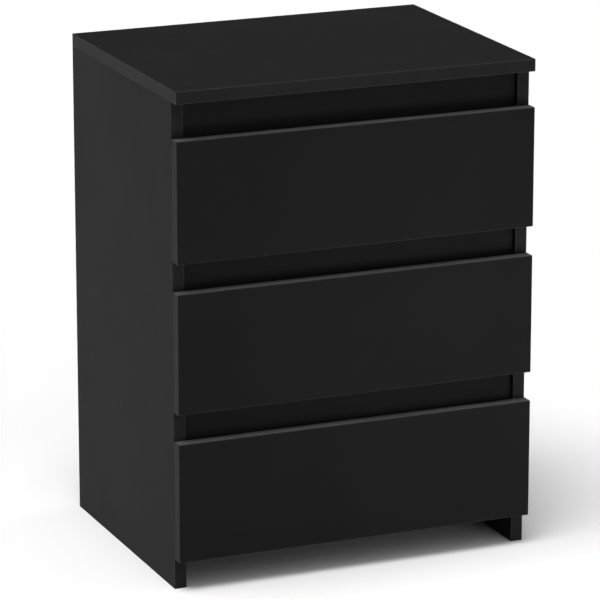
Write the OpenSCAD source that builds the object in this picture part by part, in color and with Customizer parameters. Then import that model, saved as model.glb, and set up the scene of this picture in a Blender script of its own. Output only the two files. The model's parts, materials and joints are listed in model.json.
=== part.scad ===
// Three-drawer nightstand in coated particle board: a carcass of panels and cross rails,
// and three handle-free drawers on roller runners, each pulled by the top edge of its front.
// Millimetres. +Z is up and the drawers open towards -Y.
// The origin is on the floor, below the centre of the footprint.

/* [Overall] */
// Width of the top, which is also the width of every drawer front
overall_w = 450; // [400:1:800]
// Depth from the faces of the drawer fronts to the back edges
overall_d = 344; // [344:1:450]

/* [Boards] */
// Thickness of the carcass boards and of the drawer fronts
board_t = 15; // [14:0.5:19]
// Thickness of the drawer sides and backs
box_board_t = 12; // [11.5:0.5:15]
// Thickness of the back panel and of the drawer bottoms
hardboard_t = 3; // [2.5:0.5:4]

/* [Fronts] */
// Height of the open space under the bottom front
foot_h = 37; // [20:1:80]
// Height of each drawer front
front_h = 144; // [144:1:220]
// Open space between one front and the next
front_gap = 35.5; // [30:0.5:36]
// Open space between the top front and the top
top_gap = 43; // [40:1:60]
// Seam between the drawer fronts and the front edges of the side panels
seam = 1.5; // [1:0.5:3]

/* [Rails] */
// Height of the two rails between the drawers
rail_h = 60; // [58:1:62]
// Height of the rail under the top
top_rail_h = 50; // [48:1:56]
// How far the rails stand back from the front edges of the side panels
rail_recess = 6; // [3:1:10]
// How far a rail reaches above the bottom edge of the front over it
rail_rise = 18; // [18:0.5:20]

/* [Drawer boxes] */
// Height of the drawer sides and backs
box_h = 100; // [90:1:100]
// Length of the drawer sides
box_l = 300; // [300:1:305]
// Height of the drawer bottom above the lower edges of the drawer sides
bottom_lift = 10; // [8:1:14]

/* [Runners] */
// Space between a drawer side and its side panel
runner_space = 12.5; // [12.5:0.1:13]
// Length of both members of a runner
runner_l = 300; // [290:1:300]
// How far a drawer opens
travel = 225; // [150:5:230]
// Thickness of the sheet steel
sheet_t = 1.2; // [1:0.1:1.4]
// Radius of the rollers
roller_r = 10; // [9:0.5:10]
// Width of the rollers
roller_w = 7.5; // [6:0.5:7.5]

/* [Hidden] */
$fn = 48;

black = [0.10, 0.10, 0.105];
hardboard = [0.16, 0.15, 0.15];
steel = [0.72, 0.73, 0.75];
white = [0.90, 0.90, 0.88];
beech = [0.80, 0.64, 0.42];

// Planes of the carcass
drawers = 3;
overall_h = foot_h + drawers * front_h + (drawers - 1) * front_gap + top_gap + board_t;
carcass_h = overall_h - board_t;
inner_x = overall_w / 2 - board_t;
side_mid_x = overall_w / 2 - board_t / 2;
front_y = -overall_d / 2;
front_back_y = front_y + board_t;
carcass_y = front_back_y + seam;
back_y = overall_d / 2;
rail_y = carcass_y + rail_recess;
rail_mid_y = rail_y + board_t / 2;
bottom_z = foot_h + rail_rise - board_t;

// Back panel, in grooves cut into the side panels and the top
back_inset = 10;
back_panel_y = back_y - back_inset - hardboard_t;
groove_slack = 0.2;
groove_depth = 6;
groove_hold = 5;

// Drawer boxes
box_x = inner_x - runner_space;
box_inner_x = box_x - box_board_t;
box_mid_x = box_x - box_board_t / 2;
box_back_y = front_back_y + box_l;
box_groove_depth = 5;
box_groove_hold = 4.5;

// Runners. Heights are above the lower face of the cabinet member.
// The front rollers reach a little above the channel, so the flange they carry clears it.
runner_lift = 1.5;
running_gap = 0.3;
channel_h = 2 * sheet_t + 2 * running_gap + 2 * roller_r;
roller_rise = 1.4;
rear_axle_z = sheet_t + running_gap + roller_r;
front_axle_z = channel_h + roller_rise - roller_r;
drawer_foot_z = 8;
drawer_flange_z = front_axle_z + roller_r + running_gap;
flange_gap = 2.5;
flange_w = runner_space - sheet_t - flange_gap;
lower_flange_w = box_board_t;
roller_round = 0.5;
roller_rim = 1;
roller_hub_r = roller_r - 3;
roller_dish = 0.8;
axle_r = 2.5;
bore_r = 2.55;
axle_head_r = 4;
axle_head_t = 0.7;
axle_inset = 12;
roller_side_gap = 0.3;
cabinet_member_y = carcass_y + 2;
drawer_member_y = front_back_y + 1;
front_axle_y = cabinet_member_y + axle_inset;
rear_axle_y = drawer_member_y + runner_l - axle_inset;
stop_t = 1.5;
stop_depth = 6;
stop_gap = 0.5;
box_z = rail_rise + runner_lift + drawer_foot_z + sheet_t;

// Cam fittings: a bolt screwed into the face of one board is held by a cam lock in the other
cam_r = 7.5;
cam_slack = 0.1;
cam_edge = 24;
cam_depth = 12.5;
box_cam_depth = 9.5;
bolt_thread_r = 2.5;
bolt_thread_l = 10;
bolt_thread_bevel = 1;
bolt_shank_r = 3.5;
bolt_shank_l = 17;
bolt_neck_r = 2;
bolt_neck_end = 21;
bolt_head_r = 3.2;
bolt_head_end = 23.4;
bolt_taper = 0.6;
bolt_l = 25;
bolt_bore_r = 4;
recess_l = 8;
recess_w = 1.4;
recess_d = 2;
dowel_r = 4;
dowel_l = 30;
dowel_in_face = 10;
dowel_end_gap = 0.5;
rail_fixing_z = 14;
panel_bolt_y = [-110, 110];
panel_dowel_y = [-70, 70];
box_bolt_z = [32, 80];

// Screws and nails
screw_r = 1.75;
screw_hole_r = 2;
screw_head_r = 3.5;
screw_head_t = 0.7;
screw_tip_l = 2.5;
screw_tip_r = 0.2;
cabinet_screw_l = 12;
drawer_screw_l = 9;
runner_screw_y = [45, 150, 255];
drawer_screw_z = 17;
back_screw_r = 2.25;
back_screw_l = 40;
back_screw_head_r = 3.5;
back_screw_head_t = 2;
back_screw_z = [32, 76];
nail_r = 0.8;
nail_l = 20;
nail_head_r = 2.5;
nail_head_t = 0.7;
nail_x = [-150, -50, 50, 150];

// Height of the lower edge of drawer front i, counted from 1 at the top
function front_z(i) = foot_h + (drawers - i) * (front_h + front_gap);
// Height of the middle of rail r: 0 is under the top, and the others lie over drawers 2 and 3
function rail_mid_z(r) = r == 0 ? carcass_h - top_rail_h / 2 : front_z(r) + rail_rise - rail_h / 2;

// A box given by its lowest and highest corners
module block(low, high) translate(low) cube(high - low);

module both_sides() {
    children();
    mirror([1, 0, 0]) children();
}

module at_drawer(i) translate([0, 0, front_z(i)]) children();

module at_runner() translate([0, 0, rail_rise + runner_lift]) children();

// Joint places. In each, the origin is where two boards meet, +Z runs into the edge of one
// and -Z into the face of the other, and +X points to the face that takes the cam lock.
module rail_ends(z) both_sides()
    translate([inner_x, rail_mid_y, z]) rotate([0, -90, 0]) rotate(90) children();

module bottom_ends(places) both_sides() for (y = places)
    translate([inner_x, y, bottom_z + board_t / 2]) rotate([0, -90, 0]) rotate(180) children();

module top_ends(places) both_sides() for (y = places)
    translate([side_mid_x, y, carcass_h]) rotate([0, 180, 0]) children();

module box_front_ends() both_sides() for (z = box_bolt_z)
    translate([box_mid_x, front_back_y, box_z + z]) rotate([-90, 0, 0]) rotate(180) children();

module carcass_bolt_places() {
    for (r = [0:drawers - 1]) rail_ends(rail_mid_z(r) + rail_fixing_z) children();
    bottom_ends(panel_bolt_y) children();
    top_ends(panel_bolt_y) children();
}

module carcass_dowel_places() {
    for (r = [0:drawers - 1]) rail_ends(rail_mid_z(r) - rail_fixing_z) children();
    bottom_ends(panel_dowel_y) children();
    top_ends(panel_dowel_y) children();
}

// Bores and fittings, drawn at a joint place
module bolt_face_bore()
    translate([0, 0, -bolt_thread_l]) cylinder(r = bolt_thread_r, h = bolt_thread_l + 1);

module cam_bores(thickness, depth) {
    translate([0, 0, -1]) cylinder(r = bolt_bore_r, h = cam_edge + 1);
    translate([thickness / 2 - depth, 0, cam_edge]) rotate([0, 90, 0]) cylinder(r = cam_r, h = depth + 1);
}

module dowel_bores() {
    translate([0, 0, -dowel_in_face - dowel_end_gap])
        cylinder(r = dowel_r, h = dowel_l + 2 * dowel_end_gap);
}

module cam_bolt() rotate_extrude() polygon([
    [0, -bolt_thread_l],
    [bolt_thread_r - bolt_thread_bevel, -bolt_thread_l],
    [bolt_thread_r, bolt_thread_bevel - bolt_thread_l],
    [bolt_thread_r, 0],
    [bolt_shank_r, 0],
    [bolt_shank_r, bolt_shank_l],
    [bolt_neck_r, bolt_shank_l + bolt_taper],
    [bolt_neck_r, bolt_neck_end],
    [bolt_head_r, bolt_neck_end + bolt_taper],
    [bolt_head_r, bolt_head_end],
    [0, bolt_l]
]);

module cam_lock(thickness, depth) translate([thickness / 2 - depth, 0, cam_edge]) rotate([0, 90, 0])
    difference() {
        cylinder(r = cam_r - cam_slack, h = depth - cam_slack);
        translate([0, 0, depth - thickness / 2]) {
            rotate([0, 90, 0]) cylinder(r = bolt_bore_r, h = cam_r + 1);
            sphere(r = bolt_bore_r);
        }
        for (a = [0, 90]) rotate(a)
            translate([-recess_l / 2, -recess_w / 2, depth - cam_slack - recess_d])
                cube([recess_l, recess_w, recess_d + 1]);
    }

module dowel() translate([0, 0, -dowel_in_face]) cylinder(r = dowel_r, h = dowel_l);

// A screw along +X, with its head ending at x = 0 and its tip at x = length
module runner_screw(length) rotate([0, 90, 0]) {
    translate([0, 0, -screw_head_t]) cylinder(r = screw_head_r, h = screw_head_t);
    cylinder(r = screw_r, h = length - screw_tip_l);
    translate([0, 0, length - screw_tip_l]) cylinder(r1 = screw_r, r2 = screw_tip_r, h = screw_tip_l);
}

module cabinet_screw_places(i) at_drawer(i) at_runner() both_sides() for (y = runner_screw_y)
    translate([inner_x - sheet_t, cabinet_member_y + y, rear_axle_z]) children();

module drawer_screw_places() at_runner() both_sides() for (y = runner_screw_y)
    translate([box_x + sheet_t, drawer_member_y + y, drawer_screw_z]) mirror([1, 0, 0]) children();

module back_screw_places() both_sides() for (z = back_screw_z)
    translate([box_x, box_back_y - box_board_t / 2, box_z + z]) rotate([0, -90, 0]) children();

// Carcass boards
module side_panel_right() color(black) difference() {
    block([inner_x, carcass_y, 0], [overall_w / 2, back_y, carcass_h]);
    block([inner_x - 1, back_panel_y - groove_slack, -1],
          [inner_x + groove_depth, back_panel_y + hardboard_t + groove_slack, carcass_h + 1]);
    for (r = [0:drawers - 1]) rail_ends(rail_mid_z(r) + rail_fixing_z) bolt_face_bore();
    bottom_ends(panel_bolt_y) bolt_face_bore();
    top_ends(panel_bolt_y) cam_bores(board_t, cam_depth);
    carcass_dowel_places() dowel_bores();
    for (i = [1:drawers]) cabinet_screw_places(i) runner_screw(cabinet_screw_l);
}

module side_panel_left() mirror([1, 0, 0]) side_panel_right();

module top_panel() color(black) difference() {
    block([-overall_w / 2, front_y, carcass_h], [overall_w / 2, back_y, overall_h]);
    block([-inner_x - groove_depth, back_panel_y - groove_slack, carcass_h - 1],
          [inner_x + groove_depth, back_panel_y + hardboard_t + groove_slack, carcass_h + groove_depth]);
    top_ends(panel_bolt_y) bolt_face_bore();
    top_ends(panel_dowel_y) dowel_bores();
}

module bottom_panel() color(black) difference() {
    block([-inner_x, rail_y, bottom_z], [inner_x, back_panel_y - groove_slack, bottom_z + board_t]);
    bottom_ends(panel_bolt_y) cam_bores(board_t, cam_depth);
    bottom_ends(panel_dowel_y) dowel_bores();
    nail_places() nail();
}

module cross_rail(r, height) color(black) difference() {
    block([-inner_x, rail_y, rail_mid_z(r) - height / 2],
          [inner_x, rail_y + board_t, rail_mid_z(r) + height / 2]);
    rail_ends(rail_mid_z(r) + rail_fixing_z) cam_bores(board_t, cam_depth);
    rail_ends(rail_mid_z(r) - rail_fixing_z) dowel_bores();
}

module back_panel() color(hardboard) difference() {
    block([-inner_x - groove_hold, back_panel_y, bottom_z],
          [inner_x + groove_hold, back_panel_y + hardboard_t, carcass_h + groove_hold]);
    nail_places() nail();
}

// Carcass fittings
module nail_places() for (x = nail_x)
    translate([x, back_panel_y + hardboard_t, bottom_z + board_t / 2]) rotate([90, 0, 0]) children();

module nail() {
    translate([0, 0, -nail_head_t]) cylinder(r = nail_head_r, h = nail_head_t);
    cylinder(r = nail_r, h = nail_l);
}

module carcass_cam_locks() color(steel) carcass_bolt_places() cam_lock(board_t, cam_depth);
module carcass_cam_bolts() color(steel) carcass_bolt_places() cam_bolt();
module carcass_dowels() color(beech) carcass_dowel_places() dowel();
module back_panel_nails() color(steel) nail_places() nail();
module cabinet_runner_screws() color(steel)
    for (i = [1:drawers]) cabinet_screw_places(i) runner_screw(cabinet_screw_l);

// Runners
module stub_axle() rotate([0, 90, 0]) {
    cylinder(r = axle_r, h = roller_w + 2 * roller_side_gap);
    translate([0, 0, roller_w + 2 * roller_side_gap]) cylinder(r = axle_head_r, h = axle_head_t);
}

module roller() translate([roller_side_gap, 0, 0]) rotate([0, 90, 0]) rotate_extrude() polygon([
    [bore_r, 0],
    [roller_hub_r, 0],
    [(roller_hub_r + roller_r - roller_rim) / 2, roller_dish],
    [roller_r - roller_rim, 0],
    [roller_r - roller_round, 0],
    [roller_r, roller_round],
    [roller_r, roller_w - roller_round],
    [roller_r - roller_round, roller_w],
    [roller_r - roller_rim, roller_w],
    [(roller_hub_r + roller_r - roller_rim) / 2, roller_w - roller_dish],
    [roller_hub_r, roller_w],
    [bore_r, roller_w]
]);

module front_axle() translate([inner_x - sheet_t, front_axle_y, front_axle_z]) mirror([1, 0, 0]) children();
module rear_axle() translate([box_x + sheet_t, rear_axle_y, rear_axle_z]) children();

// A tongue bent down from the upper flange, from y to y + stop_t
module stop_tongue(y)
    block([inner_x - flange_w, y, channel_h - stop_depth], [inner_x, y + stop_t, channel_h]);

module cabinet_runner_right(i) color(white) difference() {
    at_drawer(i) at_runner() {
        block([inner_x - sheet_t, cabinet_member_y, 0], [inner_x, cabinet_member_y + runner_l, channel_h]);
        block([inner_x - flange_w, cabinet_member_y, 0],
              [inner_x, cabinet_member_y + runner_l, sheet_t]);
        block([inner_x - flange_w, front_axle_y + axle_inset, channel_h - sheet_t],
              [inner_x, cabinet_member_y + runner_l, channel_h]);
        stop_tongue(rear_axle_y - travel - roller_r - stop_gap - stop_t);
        stop_tongue(rear_axle_y + roller_r + stop_gap);
        front_axle() stub_axle();
    }
    cabinet_screw_places(i) rotate([0, 90, 0]) cylinder(r = screw_hole_r, h = 2 * sheet_t);
}

module cabinet_runner_left(i) mirror([1, 0, 0]) cabinet_runner_right(i);

module front_rollers() color(white) at_runner() both_sides() front_axle() roller();

module drawer_runner_right() color(white) difference() {
    at_runner() {
        block([box_x, drawer_member_y, drawer_foot_z],
              [box_x + sheet_t, drawer_member_y + runner_l, drawer_flange_z + sheet_t]);
        block([box_x - lower_flange_w, drawer_member_y, drawer_foot_z],
              [box_x, drawer_member_y + runner_l, drawer_foot_z + sheet_t]);
        block([box_x, drawer_member_y, drawer_flange_z],
              [box_x + flange_w + sheet_t, drawer_member_y + runner_l, drawer_flange_z + sheet_t]);
        rear_axle() stub_axle();
    }
    drawer_screw_places() rotate([0, 90, 0]) cylinder(r = screw_hole_r, h = 2 * sheet_t);
}

module drawer_runner_left() mirror([1, 0, 0]) drawer_runner_right();

module rear_rollers() color(white) at_runner() both_sides() rear_axle() roller();

// Drawer boards, drawn with z = 0 at the lower edge of the drawer front
module box_bottom_groove(slack, reach) {
    z = box_z + bottom_lift;
    block([-box_inner_x - reach, front_back_y - reach, z - slack],
          [box_inner_x + reach, box_back_y - box_board_t + reach, z + hardboard_t + slack]);
}

module drawer_front() color(black) difference() {
    block([-overall_w / 2, front_y, 0], [overall_w / 2, front_back_y, front_h]);
    box_bottom_groove(groove_slack, box_groove_depth);
    box_front_ends() bolt_face_bore();
}

module drawer_side_right() color(black) difference() {
    block([box_inner_x, front_back_y, box_z], [box_x, box_back_y, box_z + box_h]);
    box_bottom_groove(groove_slack, box_groove_depth);
    box_front_ends() cam_bores(box_board_t, box_cam_depth);
    back_screw_places() back_screw();
    drawer_screw_places() runner_screw(drawer_screw_l);
}

module drawer_side_left() mirror([1, 0, 0]) drawer_side_right();

module drawer_back() color(black) difference() {
    block([-box_inner_x, box_back_y - box_board_t, box_z], [box_inner_x, box_back_y, box_z + box_h]);
    box_bottom_groove(groove_slack, box_groove_depth);
    back_screw_places() back_screw();
}

module drawer_bottom() color(hardboard) box_bottom_groove(0, box_groove_hold);

// Drawer fittings
module back_screw() {
    cylinder(r = back_screw_head_r, h = back_screw_head_t);
    cylinder(r = back_screw_r, h = back_screw_l);
}

module drawer_cam_locks() color(steel) box_front_ends() cam_lock(box_board_t, box_cam_depth);
module drawer_cam_bolts() color(steel) box_front_ends() cam_bolt();
module drawer_back_screws() color(steel) back_screw_places() back_screw();
module drawer_runner_screws() color(steel) drawer_screw_places() runner_screw(drawer_screw_l);

top_panel();
side_panel_left();
side_panel_right();
bottom_panel();
back_panel();
cross_rail(0, top_rail_h);  // top_rail
cross_rail(1, rail_h);  // middle_rail_upper
cross_rail(2, rail_h);  // middle_rail_lower
carcass_cam_locks();
carcass_cam_bolts();
carcass_dowels();
back_panel_nails();
cabinet_runner_screws();
for (i = [1:drawers]) {
    cabinet_runner_left(i);
    cabinet_runner_right(i);
    at_drawer(i) front_rollers();
    at_drawer(i) drawer_front();
    at_drawer(i) drawer_side_left();
    at_drawer(i) drawer_side_right();
    at_drawer(i) drawer_back();
    at_drawer(i) drawer_bottom();
    at_drawer(i) drawer_cam_locks();
    at_drawer(i) drawer_cam_bolts();
    at_drawer(i) drawer_back_screws();
    at_drawer(i) drawer_runner_screws();
    at_drawer(i) drawer_runner_left();
    at_drawer(i) drawer_runner_right();
    at_drawer(i) rear_rollers();
}
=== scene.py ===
"""The looks of a black three-drawer nightstand.

Boards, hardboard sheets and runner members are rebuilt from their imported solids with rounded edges,
so their grooves and bores stay where they are. Rollers, screws and nails are modelled anew in the
places that the frame gives them. Every material is procedural and measured in metres.
"""
import json
import math

import bmesh
import bpy
from mathutils import Matrix, Vector

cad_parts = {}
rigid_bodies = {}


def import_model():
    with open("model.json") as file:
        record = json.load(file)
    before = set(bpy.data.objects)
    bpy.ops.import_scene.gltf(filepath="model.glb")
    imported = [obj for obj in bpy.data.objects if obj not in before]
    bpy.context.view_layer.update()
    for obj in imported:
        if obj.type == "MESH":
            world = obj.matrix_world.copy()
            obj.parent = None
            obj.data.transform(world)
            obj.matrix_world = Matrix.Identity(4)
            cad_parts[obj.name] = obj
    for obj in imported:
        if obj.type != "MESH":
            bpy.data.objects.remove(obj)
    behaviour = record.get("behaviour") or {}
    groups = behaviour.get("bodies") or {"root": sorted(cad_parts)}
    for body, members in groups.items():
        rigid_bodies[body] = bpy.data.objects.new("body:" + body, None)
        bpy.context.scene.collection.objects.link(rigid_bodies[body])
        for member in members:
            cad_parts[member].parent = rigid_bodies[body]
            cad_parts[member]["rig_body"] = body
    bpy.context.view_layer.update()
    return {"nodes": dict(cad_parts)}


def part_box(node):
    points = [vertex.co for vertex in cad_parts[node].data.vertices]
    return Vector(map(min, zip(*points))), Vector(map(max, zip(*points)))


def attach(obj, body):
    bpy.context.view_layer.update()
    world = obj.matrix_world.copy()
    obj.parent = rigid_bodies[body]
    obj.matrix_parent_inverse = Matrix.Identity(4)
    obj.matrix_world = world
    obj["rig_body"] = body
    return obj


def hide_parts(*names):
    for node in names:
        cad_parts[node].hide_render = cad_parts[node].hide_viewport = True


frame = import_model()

MM = 0.001
DRAWERS = (1, 2, 3)                 # from the top down

EASE = 0.7 * MM                     # rounding of a banded edge
EASE_STEPS = 3
BROKEN = 0.3 * MM                   # rounding of a sawn hardboard edge
BROKEN_STEPS = 2
SAME_CORNER = 0.001 * MM            # corners closer than this are one corner
ON_PLANE = 0.02 * MM                # a corner closer than this to a plane lies on it
FLAT_ANGLE = math.radians(0.5)      # faces that meet at less than this are one flat face
SHARP_ANGLE = math.radians(38)      # an edge that turns by more than this is shaded as sharp
FACES_AXIS = 0.9                    # the cosine above which a face looks along an axis


# ---------------------------------------------------------------- materials

class Nodes:
    """A material and a short way to add nodes to it."""

    def __init__(self, name):
        self.material = bpy.data.materials.new(name)
        self.material.use_nodes = True
        self.tree = self.material.node_tree
        self.shader = self.tree.nodes["Principled BSDF"]
        self.place = self.add("ShaderNodeTexCoord").outputs["Object"]

    def add(self, kind, inputs=None, **settings):
        """A node with its settings, and with its inputs linked to sockets or set to values."""
        node = self.tree.nodes.new(kind)
        for key, value in settings.items():
            setattr(node, key, value)
        for key, value in (inputs or {}).items():
            if isinstance(value, bpy.types.NodeSocket):
                self.tree.links.new(value, node.inputs[key])
            else:
                node.inputs[key].default_value = value
        return node

    def stretched(self, scale):
        """Object coordinates, in metres, multiplied along each axis."""
        mapping = self.add("ShaderNodeMapping", {"Vector": self.place, "Scale": scale})
        return mapping.outputs["Vector"]

    def noise(self, scale, detail=2.0, roughness=0.5, place=None, distortion=0.0):
        """A cloudy value between 0 and 1, with about scale clouds in a metre."""
        node = self.add("ShaderNodeTexNoise", {
            "Vector": place or self.place, "Scale": scale, "Detail": detail,
            "Roughness": roughness, "Distortion": distortion})
        return node.outputs["Fac"]

    def chips(self, scale):
        """Small cells, each with a colour of its own."""
        return self.add("ShaderNodeTexVoronoi", {"Vector": self.place, "Scale": scale})

    def spread(self, value, low, high, to_low, to_high):
        """value between low and high, carried over to between to_low and to_high."""
        node = self.add("ShaderNodeMapRange", {
            "Value": value, "From Min": low, "From Max": high, "To Min": to_low, "To Max": to_high})
        return node.outputs["Result"]

    def ramp(self, value, stops):
        """A colour for each value, from stops of (value, colour)."""
        node = self.add("ShaderNodeValToRGB", {"Fac": value})
        ramp = node.color_ramp
        while len(ramp.elements) < len(stops):
            ramp.elements.new(0.5)
        for element, (position, colour) in zip(ramp.elements, stops):
            element.position = position
            element.color = (*colour, 1.0)
        return node.outputs["Color"]

    def blend(self, share, first, second):
        """Two colours, fixed or from sockets, mixed by the second one's share."""
        node = self.add("ShaderNodeMix", data_type="RGBA")
        self.tree.links.new(share, node.inputs["Factor"])
        for socket, colour in ((node.inputs["A"], first), (node.inputs["B"], second)):
            if isinstance(colour, bpy.types.NodeSocket):
                self.tree.links.new(colour, socket)
            else:
                socket.default_value = (*colour, 1.0)
        return node.outputs["Result"]

    def shade(self, value, low, high, first, second):
        """The first colour up to where value is low, and the second from where it is high."""
        return self.blend(self.spread(value, low, high, 0, 1), first, second)

    def bump(self, height, depth, strength, under=None):
        """A normal tilted by a height that is depth metres high, on top of the normal under it."""
        inputs = {"Height": height, "Distance": depth, "Strength": strength}
        if under:
            inputs["Normal"] = under
        return self.add("ShaderNodeBump", inputs).outputs["Normal"]

    def finish(self, **sockets):
        """Gives the shader its values and links, and returns the material."""
        names = {"colour": "Base Color", "roughness": "Roughness", "normal": "Normal",
                 "metallic": "Metallic", "specular": "Specular IOR Level",
                 "subsurface": "Subsurface Weight"}
        for key, value in sockets.items():
            socket = self.shader.inputs[names[key]]
            if isinstance(value, bpy.types.NodeSocket):
                self.tree.links.new(value, socket)
            else:
                socket.default_value = value
        return self.material


def coated_face():
    """Matt black coating with a fine pearl texture and faint cloudy differences in gloss."""
    n = Nodes("coated_face")
    cloud = n.noise(7, detail=3)
    wiped = n.noise(16, detail=4, distortion=1.2)
    fleck = n.noise(1400, detail=2)
    tone = n.shade(cloud, 0.35, 0.65, (0.0038, 0.0038, 0.0040), (0.0048, 0.0048, 0.0050))
    colour = n.blend(n.spread(fleck, 0.60, 0.74, 0, 0.30), tone, (0.018, 0.018, 0.019))
    gloss = n.add("ShaderNodeMath", {0: n.spread(cloud, 0.3, 0.7, 0.49, 0.54),
                                     1: n.spread(wiped, 0.52, 0.7, 0.0, -0.025)}, operation="ADD")
    pearl = n.bump(n.noise(1300, detail=2, roughness=0.6), 0.06 * MM, 0.9)
    return n.finish(colour=colour, roughness=gloss.outputs[0], normal=pearl, specular=0.042)


def band_texture(n):
    """The faint texture that every edge band has."""
    return n.bump(n.noise(1100, detail=1), 0.02 * MM, 0.35)


def edge_band():
    """Plastic edge band: a shade lighter and smoother than the boards, and a little cloudy."""
    n = Nodes("edge_band")
    cloud = n.noise(30, detail=2)
    colour = n.shade(cloud, 0.35, 0.65, (0.0062, 0.0062, 0.0064), (0.0078, 0.0078, 0.0081))
    return n.finish(colour=colour, roughness=n.spread(cloud, 0.3, 0.7, 0.45, 0.51),
                    normal=band_texture(n), specular=0.05)


def rubbed_and_highlighted_edge():
    """The rounded corner of an edge band, paler in patches: partly wear from hands and cloths, partly
    a painted highlight along the corner.
    """
    n = Nodes("rubbed_and_highlighted_edge")
    wear_and_highlight = n.noise(55, detail=4, roughness=0.65)
    # painted highlight and wear: the rounded corners are made up to about twice as pale as the band
    # beside them
    colour = n.shade(wear_and_highlight, 0.5, 0.72, (0.0090, 0.0090, 0.0093), (0.018, 0.018, 0.0184))
    return n.finish(colour=colour, roughness=n.spread(wear_and_highlight, 0.35, 0.7, 0.46, 0.34), specular=0.16)


def highlighted_top_band():
    """The band along the top of a drawer front, made several times paler than the other bands as a
    painted highlight where light catches the top edge, in cloudy patches.
    """
    n = Nodes("highlighted_top_band")
    highlight_patches = n.noise(38, detail=5, roughness=0.6, place=n.stretched((0.35, 1.0, 1.0)))
    # painted highlight: five to six times paler than the other bands, for light caught by the top edge
    # of each front
    colour = n.shade(highlight_patches, 0.35, 0.7, (0.033, 0.033, 0.0335), (0.047, 0.047, 0.0477))
    return n.finish(colour=colour, roughness=n.spread(highlight_patches, 0.3, 0.7, 0.50, 0.40),
                    normal=band_texture(n), specular=0.10)


def raw_board():
    """The open core of particle board: packed chips and dust, with pits between them."""
    n = Nodes("raw_board")
    chip = n.chips(420)
    dust = n.noise(1500, detail=2)
    wood = n.ramp(chip.outputs["Color"], [(0.0, (0.16, 0.085, 0.040)), (0.35, (0.30, 0.175, 0.085)),
                                          (0.7, (0.43, 0.28, 0.15)), (1.0, (0.53, 0.37, 0.21))])
    colour = n.blend(n.spread(dust, 0.3, 0.7, 0, 0.55), wood, (0.24, 0.145, 0.075))
    pits = n.bump(chip.outputs["Distance"], 0.5 * MM, 0.6)
    rough = n.bump(dust, 0.1 * MM, 0.5, under=pits)
    return n.finish(colour=colour, roughness=0.92, normal=rough, specular=0.2)


def lacquered_hardboard():
    """Black lacquer on hardboard, with the fibres just showing through."""
    n = Nodes("lacquered_hardboard")
    fibre = n.noise(420, detail=4, roughness=0.7, distortion=0.8)
    colour = n.shade(fibre, 0.35, 0.7, (0.0062, 0.0060, 0.0059), (0.0105, 0.0100, 0.0096))
    return n.finish(colour=colour, roughness=n.spread(fibre, 0.3, 0.7, 0.62, 0.50),
                    normal=n.bump(fibre, 0.08 * MM, 0.5), specular=0.10)


def hardboard_edge():
    """The sawn brown edge of hardboard."""
    n = Nodes("hardboard_edge")
    fibre = n.noise(900, detail=3, place=n.stretched((1.0, 1.0, 4.0)))
    colour = n.shade(fibre, 0.3, 0.7, (0.10, 0.060, 0.034), (0.20, 0.125, 0.070))
    return n.finish(colour=colour, roughness=0.9, normal=n.bump(fibre, 0.12 * MM, 0.6), specular=0.2)


def zinc():
    """Bright zinc plating with a cloudy, slightly brushed surface."""
    n = Nodes("zinc")
    cloud = n.noise(260, detail=3)
    colour = n.shade(cloud, 0.35, 0.65, (0.50, 0.51, 0.53), (0.66, 0.67, 0.69))
    return n.finish(colour=colour, metallic=1.0, roughness=n.spread(cloud, 0.3, 0.7, 0.26, 0.42),
                    normal=n.bump(n.noise(2400, detail=1), 0.01 * MM, 0.4))


def powder_coat():
    """White powder coat on sheet steel, with its orange-peel surface."""
    n = Nodes("powder_coat")
    peel = n.noise(700, detail=1)
    cloud = n.noise(24, detail=3)
    colour = n.shade(cloud, 0.35, 0.65, (0.43, 0.43, 0.415), (0.49, 0.49, 0.477))
    return n.finish(colour=colour, roughness=n.spread(cloud, 0.3, 0.7, 0.34, 0.44),
                    normal=n.bump(peel, 0.05 * MM, 0.5), specular=0.5)


def nylon():
    """Moulded white nylon, a little waxy."""
    n = Nodes("nylon")
    cloud = n.noise(120, detail=2)
    colour = n.shade(cloud, 0.35, 0.65, (0.52, 0.51, 0.48), (0.60, 0.59, 0.565))
    return n.finish(colour=colour, roughness=n.spread(cloud, 0.3, 0.7, 0.36, 0.46),
                    normal=n.bump(n.noise(1800, detail=1), 0.01 * MM, 0.3), subsurface=0.06)


def beech():
    """Plain beech with short dark flecks along the grain."""
    n = Nodes("dowel_beech")
    grain = n.noise(900, detail=4, place=n.stretched((0.25, 1.0, 1.0)))
    colour = n.shade(grain, 0.35, 0.7, (0.52, 0.34, 0.19), (0.36, 0.21, 0.11))
    return n.finish(colour=colour, roughness=0.62, normal=n.bump(grain, 0.05 * MM, 0.4), specular=0.3)


COATED = coated_face()
BAND = edge_band()
RUBBED_AND_HIGHLIGHTED = rubbed_and_highlighted_edge()
HIGHLIGHTED_TOP_BAND = highlighted_top_band()
RAW = raw_board()
LACQUERED = lacquered_hardboard()
SAWN = hardboard_edge()
ZINC = zinc()
POWDER = powder_coat()
NYLON = nylon()
BEECH = beech()


# ---------------------------------------------------------------- mesh helpers

def body_of(node):
    return frame["nodes"][node]["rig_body"]


def stand_in(bm, node, materials):
    """Makes the finished mesh a piece that stands for a CAD node and moves with its body."""
    for face in bm.faces:
        face.smooth = True
    for edge in bm.edges:
        edge.smooth = len(edge.link_faces) == 2 and edge.calc_face_angle(0) < SHARP_ANGLE
    mesh = bpy.data.meshes.new(node + "_shape")
    bm.to_mesh(mesh)
    bm.free()
    piece = bpy.data.objects.new(node + "_shape", mesh)
    for material in materials:
        mesh.materials.append(material)
    bpy.context.scene.collection.objects.link(piece)
    weighted = piece.modifiers.new("even_shading", "WEIGHTED_NORMAL")
    weighted.keep_sharp = True
    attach(piece, body_of(node))
    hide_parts(node)
    return piece


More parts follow.
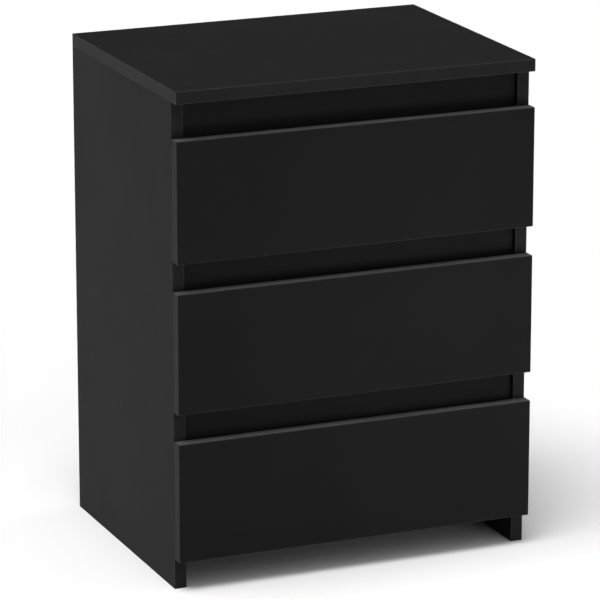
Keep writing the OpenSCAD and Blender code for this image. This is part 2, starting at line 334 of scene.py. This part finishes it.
def solid_of(node):
    """The CAD node's mesh with its flat faces in one piece each."""
    bm = bmesh.new()
    bm.from_mesh(frame["nodes"][node].data)
    bmesh.ops.remove_doubles(bm, verts=bm.verts, dist=SAME_CORNER)
    bmesh.ops.dissolve_limit(bm, angle_limit=FLAT_ANGLE, verts=bm.verts, edges=bm.edges)
    return bm


def outer_planes(point, low, high):
    """The sides of the box that a point lies on, such as {"x-", "z+"}."""
    sides = set()
    for axis, name in enumerate("xyz"):
        if abs(point[axis] - low[axis]) < ON_PLANE:
            sides.add(name + "-")
        if abs(point[axis] - high[axis]) < ON_PLANE:
            sides.add(name + "+")
    return sides


def face_side(face, low, high):
    """The side of the box that a face lies in, or None for a face inside it."""
    shared = None
    for vertex in face.verts:
        sides = outer_planes(vertex.co, low, high)
        shared = sides if shared is None else shared & sides
    return min(shared) if shared else None


def round_edges(bm, edges, radius, steps, slot=0):
    """Rounds the edges. The new faces take the material slot."""
    bmesh.ops.bevel(bm, geom=edges, offset=radius, segments=steps, profile=0.5,
                    affect="EDGES", clamp_overlap=True, material=slot)


# The material slots of a board and of a hardboard sheet
ON_FACE, ON_BAND, ON_EASED, ON_CORE, ON_HIGHLIGHTED_TOP = range(5)
ON_SHEET, ON_SAWN = range(2)


def box_edges(bm, low, high, left_out=()):
    """The edges where two sides of the box meet, except those of the sides left out."""
    found = []
    for edge in bm.edges:
        sides = outer_planes(edge.verts[0].co, low, high) & outer_planes(edge.verts[1].co, low, high)
        if len(sides) == 2 and not sides & {*left_out}:
            found.append(edge)
    return found


def board(node, thin, raw=(), square=(), highlighted_sides=()):
    """A particle board: coated on its two large sides and banded round its edges.

    The raw sides have no band, and neither these nor the square sides have eased corners.
    The band on the sides given in the last argument is painted paler, as a highlight where light
    catches that edge.
    """
    low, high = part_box(node)
    bm = solid_of(node)
    for face in bm.faces:
        side = face_side(face, low, high)
        if side is None or side in raw:
            face.material_index = ON_CORE
        # these sides take the band with the painted highlight
        elif side in highlighted_sides:
            face.material_index = ON_HIGHLIGHTED_TOP
        else:
            face.material_index = ON_FACE if side[0] == thin else ON_BAND
    round_edges(bm, box_edges(bm, low, high, left_out=(*raw, *square)), EASE, EASE_STEPS, ON_EASED)
    finishes = (COATED, BAND, RUBBED_AND_HIGHLIGHTED, RAW, HIGHLIGHTED_TOP_BAND) if highlighted_sides else (COATED, BAND, RUBBED_AND_HIGHLIGHTED, RAW)
    return stand_in(bm, node, finishes)


def hardboard(node):
    """A thin sheet with two lacquered sides and sawn edges that are just broken."""
    low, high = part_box(node)
    thin = min(range(3), key=lambda axis: high[axis] - low[axis])
    bm = solid_of(node)
    for face in bm.faces:
        face.material_index = ON_SHEET if abs(face.normal[thin]) > FACES_AXIS else ON_SAWN
    round_edges(bm, box_edges(bm, low, high), BROKEN, BROKEN_STEPS, ON_SAWN)
    return stand_in(bm, node, (LACQUERED, SAWN))


def carried(node, material):
    """A CAD node whose shape is right keeps it, and takes a better material."""
    cad = frame["nodes"][node]
    for place in cad.material_slots:
        place.material = material


# ---------------------------------------------------------------- sheet steel

SHEET = 1.2 * MM
OUTER_BEND = 1.7 * MM    # the radius outside a bend, one sheet more than inside it
INNER_BEND = 0.5 * MM
SHEARED = 0.25 * MM      # rounding that the coating gives a cut edge
BEND_STEPS = (4, 3, 2)   # of the outside bends, inside bends and cut rims
RIM_WIDTH = 1.1 * SHEET  # a face narrower than this is a cut rim
LONG_EDGE = 2 * MM       # a shorter edge is no bend
RUNS_ALONG = 0.999       # the cosine above which an edge runs along the runner


def width_across(face, edge):
    """How wide a face is, measured square to one of its edges."""
    along = (edge.verts[1].co - edge.verts[0].co).normalized()
    across = face.normal.cross(along)
    reach = [vertex.co.dot(across) for vertex in face.verts]
    return max(reach) - min(reach)


def bend_edges(bm):
    """The long edges of a folded sheet: outside bends, inside bends and cut rims."""
    outer, inner, rims = [], [], []
    for edge in bm.edges:
        if len(edge.link_faces) != 2 or edge.calc_face_angle(0) < SHARP_ANGLE:
            continue
        along = edge.verts[1].co - edge.verts[0].co
        if along.length < LONG_EDGE or abs(along.normalized().y) < RUNS_ALONG:
            continue
        narrow = min(width_across(face, edge) for face in edge.link_faces)
        if narrow < RIM_WIDTH:
            rims.append(edge)
        elif edge.is_convex:
            outer.append(edge)
        else:
            inner.append(edge)
    return outer, inner, rims


def folded_sheet(node, like):
    """A runner member: its bends get their radii and its cut rims a thin round of coating.

    It is the same part as the member called like, at its own level.
    """
    bm = solid_of(like)
    bmesh.ops.translate(bm, vec=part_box(node)[0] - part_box(like)[0], verts=bm.verts)
    radii = (OUTER_BEND, INNER_BEND, SHEARED)
    for edges, radius, steps in zip(bend_edges(bm), radii, BEND_STEPS):
        round_edges(bm, [edge for edge in edges if edge.is_valid], radius, steps)
    return stand_in(bm, node, (POWDER,))


# ---------------------------------------------------------------- turned parts

TURN_STEPS = 48          # round a screw or nail
ROLLER_STEPS = 72
END_SLICE = 0.3 * MM     # how much of a fastener's end is measured to tell its head from its point
RECESS_TURN = 2.4        # radians from one screw's recess to the next one's
ORDER_DIGITS = 5         # decimals of a metre by which the solids of a node are put in order

# Profiles as (radius, height), from the flat of the outer face to the far end, with the height
# falling from the outer face, in mm
RUNNER_SCREW = ((2.3, 0.0), (2.9, -0.08), (3.35, -0.28), (3.5, -0.5), (3.5, -0.7), (1.75, -0.7),
                (1.75, -10.2), (1.1, -11.5), (0.2, -12.7))
DRAWER_SCREW = (*RUNNER_SCREW[:6], (1.75, -7.2), (1.1, -8.4), (0.2, -9.7))
BACK_SCREW = ((3.2, 0.0), (3.42, -0.08), (3.5, -0.25), (3.5, -2.0), (2.25, -2.0), (2.25, -39.0),
              (1.9, -40.0))
NAIL = ((0.8, -0.04), (1.6, -0.16), (2.2, -0.34), (2.5, -0.52), (2.5, -0.7), (0.8, -0.7),
        (0.8, -19.2), (0.1, -20.7))

# A cross recess as its arm's half width, reach and depth, and how much it narrows, in mm
SMALL_CROSS = (0.42, 1.55, 1.5, 0.55)
LARGE_CROSS = (0.50, 1.95, 1.9, 0.55)


def separate_solids(node):
    """The corners of each separate solid in a CAD node."""
    bm = solid_of(node)
    waiting = set(bm.verts)
    solids = []
    while waiting:
        stack = [waiting.pop()]
        corners = []
        while stack:
            vertex = stack.pop()
            corners.append(vertex.co.copy())
            for edge in vertex.link_edges:
                other = edge.other_vert(vertex)
                if other in waiting:
                    waiting.remove(other)
                    stack.append(other)
        solids.append(corners)
    bm.free()
    return sorted(solids, key=lambda corners: corners_middle(corners).to_tuple(ORDER_DIGITS))


def corners_box(corners):
    low = Vector([min(corner[axis] for corner in corners) for axis in range(3)])
    high = Vector([max(corner[axis] for corner in corners) for axis in range(3)])
    return low, high


def corners_middle(corners):
    low, high = corners_box(corners)
    return (low + high) / 2


def head_place(corners):
    """Where a screw's or nail's outer face is: a matrix whose +Z points out of its head."""
    low, high = corners_box(corners)
    middle = (low + high) / 2
    long_way = max(range(3), key=lambda axis: high[axis] - low[axis])

    def spread_at(level):
        near = [corner for corner in corners if abs(corner[long_way] - level) < END_SLICE]
        return max(math.hypot(*[(corner - middle)[axis] for axis in range(3) if axis != long_way])
                   for corner in near)

    outwards = 1 if spread_at(high[long_way]) > spread_at(low[long_way]) else -1
    direction = Vector([outwards if axis == long_way else 0 for axis in range(3)])
    middle[long_way] = high[long_way] if outwards > 0 else low[long_way]
    return Matrix.Translation(middle) @ direction.to_track_quat("Z", "Y").to_matrix().to_4x4()


def ring(bm, place, radius, height, steps):
    """Corners round the Z axis of place, at a radius and a height in mm."""
    corners = []
    for k in range(steps):
        turn = 2 * math.pi * k / steps
        corner = Vector((radius * math.cos(turn), radius * math.sin(turn), height)) * MM
        corners.append(bm.verts.new(place @ corner))
    return corners


def join_rings(bm, first, second):
    """Faces between two rings with as many corners as each other."""
    count = len(first)
    for k in range(count):
        bm.faces.new((first[k], second[k], second[(k + 1) % count], first[(k + 1) % count]))


def turned(bm, place, profile):
    """A turned solid below its outer face. Returns the ring that bounds its open outer face."""
    rings = [ring(bm, place, radius, height, TURN_STEPS) for radius, height in profile]
    for first, second in zip(rings, rings[1:]):
        join_rings(bm, first, second)
    bm.faces.new(rings[-1])
    return rings[0]


def cross_outline(bm, place, half, reach, height):
    """The 12 corners of a cross, with arms of a half width and a reach, at a height, in mm."""
    quarter = ((reach, -half), (reach, half), (half, half))
    outline = []
    for k in range(4):
        turn = Matrix.Rotation(k * math.pi / 2, 4, "Z")
        for x, y in quarter:
            outline.append(bm.verts.new(place @ turn @ (Vector((x, y, height)) * MM)))
    return outline


def closed_with_cross(bm, place, rim, cross, turn):
    """Closes a head's outer face, with a cross recess sunk into it."""
    half, reach, depth, narrowing = cross
    turned_place = place @ Matrix.Rotation(turn, 4, "Z")
    top = cross_outline(bm, turned_place, half, reach, 0)
    low = cross_outline(bm, turned_place, half * narrowing, reach * narrowing, -depth)
    join_rings(bm, top, low)
    bm.faces.new(low)
    around = [bm.edges.get(pair) for loop in (rim, top) for pair in zip(loop, loop[1:] + loop[:1])]
    bmesh.ops.triangle_fill(bm, use_beauty=True, use_dissolve=False, edges=around)


def fasteners(node, profile, cross=None):
    """Every screw or nail of a CAD node, each recess turned its own way."""
    bm = bmesh.new()
    for number, corners in enumerate(separate_solids(node)):
        place = head_place(corners)
        rim = turned(bm, place, profile)
        if cross:
            closed_with_cross(bm, place, rim, cross, turn=number * RECESS_TURN)
        else:
            bm.faces.new(rim)
    bmesh.ops.recalc_face_normals(bm, faces=bm.faces)
    return stand_in(bm, node, (ZINC,))


# Half of a roller's profile as (radius, distance from its middle plane), from its bore outwards, in mm
ROLLER_HALF = ((2.55, 3.55), (2.75, 3.75), (6.7, 3.75), (7.0, 3.6), (7.35, 3.1), (8.0, 2.95),
               (8.65, 3.1), (9.0, 3.6), (9.2, 3.74), (9.6, 3.7), (9.87, 3.5), (10.0, 3.2))


def rollers(node):
    """A pair of moulded rollers, each dished near its rim on both sides."""
    bm = bmesh.new()
    for corners in separate_solids(node):
        place = Matrix.Translation(corners_middle(corners)) @ Matrix.Rotation(math.pi / 2, 4, "Y")
        loop = ROLLER_HALF + tuple((radius, -side) for radius, side in reversed(ROLLER_HALF))
        rings = [ring(bm, place, radius, side, ROLLER_STEPS) for radius, side in loop]
        for first, second in zip(rings, rings[1:] + rings[:1]):
            join_rings(bm, first, second)
    bmesh.ops.recalc_face_normals(bm, faces=bm.faces)
    return stand_in(bm, node, (NYLON,))


# ---------------------------------------------------------------- the object

def build_carcass():
    board("top_panel", "z")
    board("side_panel_left", "x", raw=("z-",), square=("z+",))
    board("side_panel_right", "x", raw=("z-",), square=("z+",))
    board("bottom_panel", "z", raw=("x-", "x+", "y+"))
    for rail in ("top_rail", "middle_rail_upper", "middle_rail_lower"):
        board(rail, "y", raw=("x-", "x+", "z-"))
    hardboard("back_panel")
    fasteners("back_panel_nails", NAIL)
    fasteners("cabinet_runner_screws", RUNNER_SCREW, SMALL_CROSS)
    carried("carcass_cam_locks", ZINC)
    carried("carcass_cam_bolts", ZINC)
    carried("carcass_dowels", BEECH)
    for level in DRAWERS:
        folded_sheet(f"cabinet_runner_left_{level}", like="cabinet_runner_left_1")
        folded_sheet(f"cabinet_runner_right_{level}", like="cabinet_runner_right_1")
        rollers(f"cabinet_front_rollers_{level}")


def build_drawer(level):
    # the top edge of each front takes the band with the painted highlight
    board(f"drawer_{level}_front", "y", highlighted_sides=("z+",))
    for side in ("side_left", "side_right"):
        board(f"drawer_{level}_{side}", "x", raw=("z-",))
    board(f"drawer_{level}_back", "y", raw=("x-", "x+", "z-"))
    hardboard(f"drawer_{level}_bottom")
    folded_sheet(f"drawer_{level}_runner_left", like="drawer_1_runner_left")
    folded_sheet(f"drawer_{level}_runner_right", like="drawer_1_runner_right")
    rollers(f"drawer_{level}_rear_rollers")
    fasteners(f"drawer_{level}_runner_screws", DRAWER_SCREW, SMALL_CROSS)
    fasteners(f"drawer_{level}_back_screws", BACK_SCREW, LARGE_CROSS)
    carried(f"drawer_{level}_cam_locks", ZINC)
    carried(f"drawer_{level}_cam_bolts", ZINC)


# ---------------------------------------------------------------- stage

FLOOR_RADIUS = 60.0
FLOOR_TONE = (0.41, 0.41, 0.41)
FLOOR_PALER = (0.4182, 0.4182, 0.4182)    # in the floor's faint clouds
CAMERA_PLACE = Vector((-1.801, -4.270, 1.597))
CAMERA_YAW = math.radians(22.86)      # turned right of straight ahead
CAMERA_TILT = math.radians(15.80)     # below the horizon
CAMERA_LENS = 240.0                   # mm
SENSOR_WIDTH = 36.0                   # mm


def make_floor():
    bm = bmesh.new()
    bmesh.ops.create_circle(bm, cap_ends=True, segments=96, radius=FLOOR_RADIUS)
    mesh = bpy.data.meshes.new("floor")
    bm.to_mesh(mesh)
    bm.free()
    n = Nodes("pale_floor")
    tone = n.blend(n.noise(3, detail=2), FLOOR_TONE, FLOOR_PALER)
    mesh.materials.append(n.finish(colour=tone, roughness=0.9, specular=0.2))
    floor = bpy.data.objects.new("floor", mesh)
    bpy.context.scene.collection.objects.link(floor)


def soft_box(name, place, target, size, power):
    """A square light at place that faces target, with its size in metres and its power in watts."""
    data = bpy.data.lights.new(name, "AREA")
    data.shape = "SQUARE"
    data.size = size
    data.energy = power
    light = bpy.data.objects.new(name, data)
    light.location = place
    light.rotation_euler = (Vector(target) - Vector(place)).to_track_quat("-Z", "Y").to_euler()
    bpy.context.scene.collection.objects.link(light)


def soft_sun(name, azimuth, elevation, angle, strength):
    """A broad far light. Azimuth 0 shines from the front and 90 from the right, in degrees."""
    data = bpy.data.lights.new(name, "SUN")
    data.energy = strength
    data.angle = math.radians(angle)
    light = bpy.data.objects.new(name, data)
    light.rotation_euler = (math.radians(90 - elevation), 0, math.radians(azimuth))
    bpy.context.scene.collection.objects.link(light)


# How bright the studio is at each height above the horizon, as the sine of the angle
SKY = ((0.00, 0.98), (0.07, 0.95), (0.12, 0.05), (0.66, 0.05), (0.82, 0.70), (1.00, 0.70))


def make_sky():
    """A pale horizon, a dim band above it and a bright ceiling, the same from all sides."""
    world = bpy.data.worlds.new("studio")
    world.use_nodes = True
    tree = world.node_tree
    sky = tree.nodes["Background"]
    place = tree.nodes.new("ShaderNodeTexCoord")
    parts = tree.nodes.new("ShaderNodeSeparateXYZ")
    ramp = tree.nodes.new("ShaderNodeValToRGB")
    ramp.color_ramp.interpolation = "EASE"
    while len(ramp.color_ramp.elements) < len(SKY):
        ramp.color_ramp.elements.new(0.5)
    for element, (height, light) in zip(ramp.color_ramp.elements, SKY):
        element.position = height
        element.color = (light, light, light, 1)
    tree.links.new(place.outputs["Generated"], parts.inputs[0])
    tree.links.new(parts.outputs["Z"], ramp.inputs["Fac"])
    tree.links.new(ramp.outputs["Color"], sky.inputs["Color"])
    bpy.context.scene.world = world


def make_camera():
    data = bpy.data.cameras.new("camera")
    data.lens = CAMERA_LENS
    data.sensor_width = SENSOR_WIDTH
    camera = bpy.data.objects.new("camera", data)
    camera.location = CAMERA_PLACE
    camera.rotation_euler = (math.pi / 2 - CAMERA_TILT, 0, -CAMERA_YAW)
    bpy.context.scene.collection.objects.link(camera)
    bpy.context.scene.camera = camera


make_camera()
build_carcass()
for level in DRAWERS:
    build_drawer(level)
make_floor()
make_sky()
soft_sun("key", azimuth=-60, elevation=74, angle=36, strength=5.65)
soft_sun("front", azimuth=-5, elevation=42, angle=40, strength=0.9)
soft_sun("right", azimuth=60, elevation=15, angle=45, strength=0.8)
soft_sun("side_right", azimuth=98, elevation=13, angle=30, strength=1.5)
soft_box("left_fill", place=(-0.70, 0, 0.30), target=(0, 0, 0.30), size=0.4, power=1.0)
soft_box("front_fill", place=(0.40, -0.90, 0.06), target=(0, 0, 0.06), size=0.5, power=4.4)
bpy.context.scene.view_settings.view_transform = "Standard"
